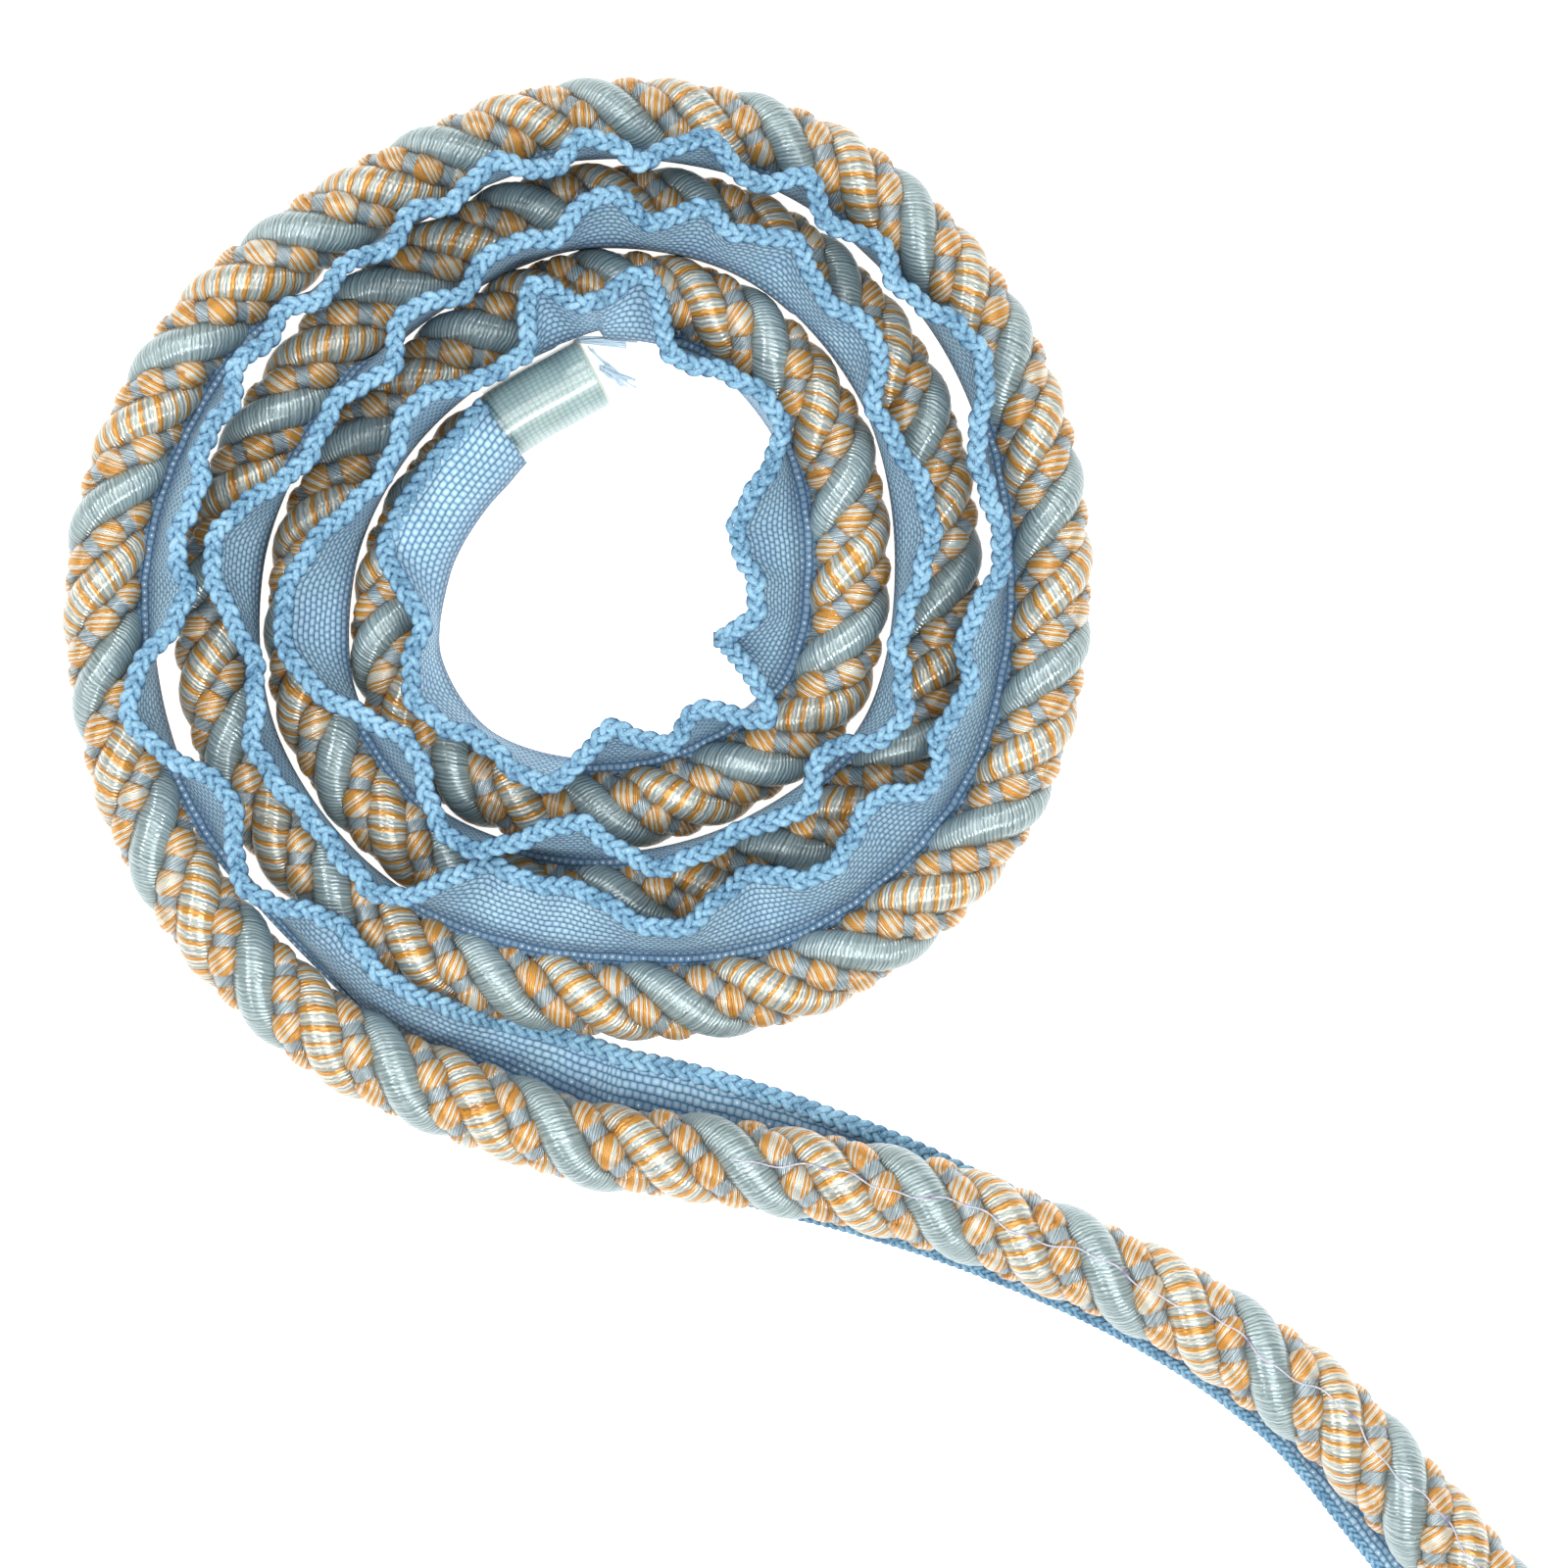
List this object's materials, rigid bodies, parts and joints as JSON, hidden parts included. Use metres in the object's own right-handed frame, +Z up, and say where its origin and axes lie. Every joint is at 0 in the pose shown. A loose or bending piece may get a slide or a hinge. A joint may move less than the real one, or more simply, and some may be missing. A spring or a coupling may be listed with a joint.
{
  "type": "twisted cord trim",
  "caption": "Coiled furnishing cord of fat and thin plies twisted together, with a sewn-on woven lip tape, its inner end bound in clear tape.",
  "frame": {"origin": "middle of the trim's bounding box, on the surface it lies on", "axes": "+Z up from the surface; +Y from the free tail towards the coil's far side; +X to the side the tail leaves on"},
  "size_m": [0.1808, 0.195, 0.0185],
  "materials": {
    "cord": "satin",
    "lip": "matte",
    "clear_wrap": "gloss"
  },
  "bodies": {
    "root": {"twisted_cord": "cord", "lip_tape": "lip", "end_wrap": "clear_wrap"}
  },
  "joints": []
}
